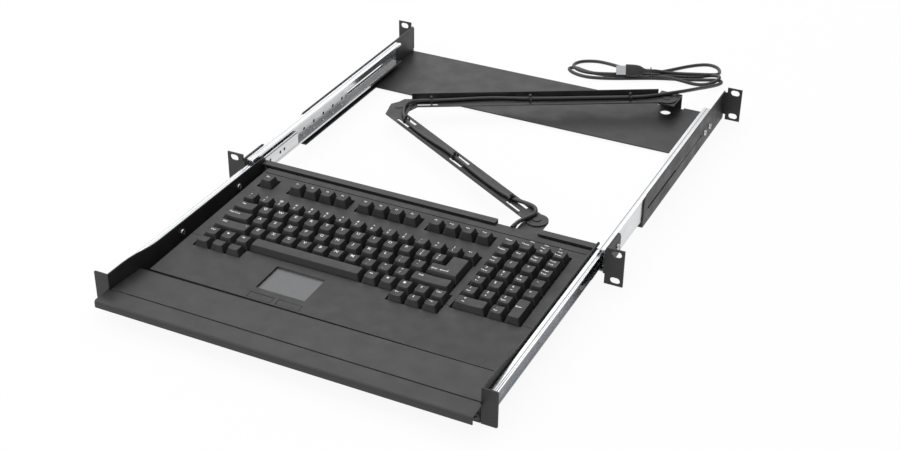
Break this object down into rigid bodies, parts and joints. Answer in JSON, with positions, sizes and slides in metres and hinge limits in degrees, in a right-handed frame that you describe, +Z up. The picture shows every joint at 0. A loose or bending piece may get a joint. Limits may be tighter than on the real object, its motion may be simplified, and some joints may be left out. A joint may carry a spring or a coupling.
{
  "type": "sliding rack keyboard shelf",
  "caption": "Rack-mount keyboard shelf on ball slides: a sheet-metal tray with a touch-pad keyboard, pull handle and folding cable arm, with slotted rack ears front and rear.",
  "frame": {"origin": "centre of the four front rack slots, on the front face of the front ears", "axes": "+X to the right seen from the front, +Y towards the rear of the rack, +Z up"},
  "size_m": [0.4826, 0.8609, 0.0436],
  "materials": {
    "powder_coat": "fine textured black powder coat",
    "zinc_steel": "bright zinc plating",
    "bright_screw": "bright plated",
    "black_plastic": "fine grained moulded plastic",
    "key_plastic": "satin moulded key caps",
    "pad_film": "matte touch film",
    "inner_plastic": "plain moulded sheet",
    "board": "solder mask",
    "lens": "smoked lens",
    "cable_jacket": "soft cable jacket",
    "plug_metal": "nickel plated"
  },
  "bodies": {
    "rack_frame": {"front_bracket_left": "powder_coat", "front_bracket_right": "powder_coat", "rear_bracket": "powder_coat", "bracket_screws": "bright_screw", "slide_outer_left": "zinc_steel", "slide_outer_right": "zinc_steel", "cord_tail": "cable_jacket", "cord_hank": "cable_jacket", "hank_tie": "black_plastic", "plug_body": "cable_jacket", "plug_shell": "plug_metal"},
    "shelf": {"tray": "powder_coat", "palm_apron": "powder_coat", "pull_handle": "powder_coat", "tray_screws": "bright_screw", "slide_inner_left": "zinc_steel", "slide_inner_right": "zinc_steel", "keyboard_bezel": "black_plastic", "keyboard_base": "black_plastic", "key_guide_plate": "black_plastic", "membrane_sheet": "inner_plastic", "controller_board": "board", "touch_pad": "pad_film", "status_leds": "lens", "tray_rivet": "powder_coat", "strain_relief": "cable_jacket", "cord_keyboard": "cable_jacket"},
    "cage_left": {"ball_cage_left": "zinc_steel"},
    "cage_right": {"ball_cage_right": "zinc_steel"},
    "lever_left": {"release_lever_left": "black_plastic"},
    "lever_right": {"release_lever_right": "black_plastic"},
    "front_arm": {"front_link": "powder_coat", "front_link_ties": "black_plastic", "elbow_rivet": "powder_coat", "cord_front_link": "cable_jacket", "cord_elbow": "cable_jacket"},
    "rear_arm": {"rear_link": "powder_coat", "rear_link_ties": "black_plastic", "fixed_rivet": "powder_coat", "cord_rear_link": "cable_jacket"},
    "left_button": {"pad_button_left": "black_plastic"},
    "right_button": {"pad_button_right": "black_plastic"},
    "escape_key_cap": {"escape_key": "key_plastic"},
    "function_keys_cap": {"function_keys": "key_plastic"},
    "number_keys_cap": {"number_keys": "key_plastic"},
    "backspace_key_cap": {"backspace_key": "key_plastic"},
    "tab_key_cap": {"tab_key": "key_plastic"},
    "upper_letter_keys_cap": {"upper_letter_keys": "key_plastic"},
    "caps_key_cap": {"caps_key": "key_plastic"},
    "home_letter_keys_cap": {"home_letter_keys": "key_plastic"},
    "return_key_cap": {"return_key": "key_plastic"},
    "left_shift_key_cap": {"left_shift_key": "key_plastic"},
    "lower_letter_keys_cap": {"lower_letter_keys": "key_plastic"},
    "right_shift_key_cap": {"right_shift_key": "key_plastic"},
    "modifier_keys_cap": {"modifier_keys": "key_plastic"},
    "space_bar_cap": {"space_bar": "key_plastic"},
    "arrow_keys_cap": {"arrow_keys": "key_plastic"},
    "keypad_keys_cap": {"keypad_keys": "key_plastic"},
    "keypad_zero_key_cap": {"keypad_zero_key": "key_plastic"},
    "keypad_enter_key_cap": {"keypad_enter_key": "key_plastic"}
  },
  "joints": [
    {"name": "shelf_slide", "type": "slide", "parent": "rack_frame", "child": "shelf", "axis": [0, 1, 0], "range_m": [0, 0.2693]},
    {"name": "cage_left_roll", "type": "slide", "parent": "rack_frame", "child": "cage_left", "axis": [0, 1, 0], "range_m": [0, 0.13465]},
    {"name": "cage_right_roll", "type": "slide", "parent": "rack_frame", "child": "cage_right", "axis": [0, 1, 0], "range_m": [0, 0.13465]},
    {"name": "front_arm_pivot", "type": "hinge", "parent": "shelf", "child": "front_arm", "pos_m": [0.1229, 0.0495, 0.0019], "axis": [0, 0, 1], "range_deg": [0, 24], "deforming": ["cord_keyboard"]},
    {"name": "arm_elbow", "type": "hinge", "parent": "front_arm", "child": "rear_arm", "pos_m": [-0.1374, 0.2248, 0.0004], "axis": [0, 0, 1], "range_deg": [-50.7, 0], "deforming": ["cord_elbow", "cord_tail"]},
    {"name": "release_left", "type": "hinge", "parent": "shelf", "child": "lever_left", "pos_m": [-0.209, 0.026, 0.0025], "axis": [-1, 0, 0], "range_deg": [0, 4], "stiffness_Nm_per_rad": 0.02, "springref_deg": -11.46},
    {"name": "release_right", "type": "hinge", "parent": "shelf", "child": "lever_right", "pos_m": [0.209, 0.026, 0.0025], "axis": [-1, 0, 0], "range_deg": [0, 4], "stiffness_Nm_per_rad": 0.02, "springref_deg": -11.46},
    {"name": "escape_key_press", "type": "slide", "parent": "shelf", "child": "escape_key_cap", "axis": [0, 0.0227, -0.9997], "range_m": [0, 0.0035], "stiffness_N_per_m": 120, "springref_m": -0.003},
    {"name": "function_keys_press", "type": "slide", "parent": "shelf", "child": "function_keys_cap", "axis": [0, 0.0227, -0.9997], "range_m": [0, 0.0035], "stiffness_N_per_m": 1440, "springref_m": -0.003},
    {"name": "number_keys_press", "type": "slide", "parent": "shelf", "child": "number_keys_cap", "axis": [0, 0.0227, -0.9997], "range_m": [0, 0.0035], "stiffness_N_per_m": 1680, "springref_m": -0.003},
    {"name": "backspace_key_press", "type": "slide", "parent": "shelf", "child": "backspace_key_cap", "axis": [0, 0.0227, -0.9997], "range_m": [0, 0.0035], "stiffness_N_per_m": 120, "springref_m": -0.003},
    {"name": "tab_key_press", "type": "slide", "parent": "shelf", "child": "tab_key_cap", "axis": [0, 0.0227, -0.9997], "range_m": [0, 0.0035], "stiffness_N_per_m": 120, "springref_m": -0.003},
    {"name": "upper_letter_keys_press", "type": "slide", "parent": "shelf", "child": "upper_letter_keys_cap", "axis": [0, 0.0227, -0.9997], "range_m": [0, 0.0035], "stiffness_N_per_m": 1440, "springref_m": -0.003},
    {"name": "caps_key_press", "type": "slide", "parent": "shelf", "child": "caps_key_cap", "axis": [0, 0.0227, -0.9997], "range_m": [0, 0.0035], "stiffness_N_per_m": 120, "springref_m": -0.003},
    {"name": "home_letter_keys_press", "type": "slide", "parent": "shelf", "child": "home_letter_keys_cap", "axis": [0, 0.0227, -0.9997], "range_m": [0, 0.0035], "stiffness_N_per_m": 1320, "springref_m": -0.003},
    {"name": "return_key_press", "type": "slide", "parent": "shelf", "child": "return_key_cap", "axis": [0, 0.0227, -0.9997], "range_m": [0, 0.0035], "stiffness_N_per_m": 120, "springref_m": -0.003},
    {"name": "left_shift_key_press", "type": "slide", "parent": "shelf", "child": "left_shift_key_cap", "axis": [0, 0.0227, -0.9997], "range_m": [0, 0.0035], "stiffness_N_per_m": 120, "springref_m": -0.003},
    {"name": "lower_letter_keys_press", "type": "slide", "parent": "shelf", "child": "lower_letter_keys_cap", "axis": [0, 0.0227, -0.9997], "range_m": [0, 0.0035], "stiffness_N_per_m": 1200, "springref_m": -0.003},
    {"name": "right_shift_key_press", "type": "slide", "parent": "shelf", "child": "right_shift_key_cap", "axis": [0, 0.0227, -0.9997], "range_m": [0, 0.0035], "stiffness_N_per_m": 120, "springref_m": -0.003},
    {"name": "modifier_keys_press", "type": "slide", "parent": "shelf", "child": "modifier_keys_cap", "axis": [0, 0.0227, -0.9997], "range_m": [0, 0.0035], "stiffness_N_per_m": 1320, "springref_m": -0.003},
    {"name": "space_bar_press", "type": "slide", "parent": "shelf", "child": "space_bar_cap", "axis": [0, 0.0227, -0.9997], "range_m": [0, 0.0035], "stiffness_N_per_m": 120, "springref_m": -0.003},
    {"name": "arrow_keys_press", "type": "slide", "parent": "shelf", "child": "arrow_keys_cap", "axis": [0, 0.0227, -0.9997], "range_m": [0, 0.0035], "stiffness_N_per_m": 360, "springref_m": -0.003},
    {"name": "keypad_keys_press", "type": "slide", "parent": "shelf", "child": "keypad_keys_cap", "axis": [0, 0.0227, -0.9997], "range_m": [0, 0.0035], "stiffness_N_per_m": 2880, "springref_m": -0.003},
    {"name": "keypad_zero_key_press", "type": "slide", "parent": "shelf", "child": "keypad_zero_key_cap", "axis": [0, 0.0227, -0.9997], "range_m": [0, 0.0035], "stiffness_N_per_m": 120, "springref_m": -0.003},
    {"name": "keypad_enter_key_press", "type": "slide", "parent": "shelf", "child": "keypad_enter_key_cap", "axis": [0, 0.0227, -0.9997], "range_m": [0, 0.0035], "stiffness_N_per_m": 120, "springref_m": -0.003},
    {"name": "left_button_press", "type": "slide", "parent": "shelf", "child": "left_button", "axis": [0, 0.0227, -0.9997], "range_m": [0, 0.0008], "stiffness_N_per_m": 800, "springref_m": -0.0006},
    {"name": "right_button_press", "type": "slide", "parent": "shelf", "child": "right_button", "axis": [0, 0.0227, -0.9997], "range_m": [0, 0.0008], "stiffness_N_per_m": 800, "springref_m": -0.0006}
  ],
  "couplings": [
    {"joint": "cage_left_roll", "follows": "shelf_slide", "ratio": 0.5},
    {"joint": "cage_right_roll", "follows": "shelf_slide", "ratio": 0.5},
    {"joint": "front_arm_pivot", "follows": "shelf_slide", "rad_per_m": 1.5546},
    {"joint": "arm_elbow", "follows": "shelf_slide", "rad_per_m": -3.281}
  ]
}
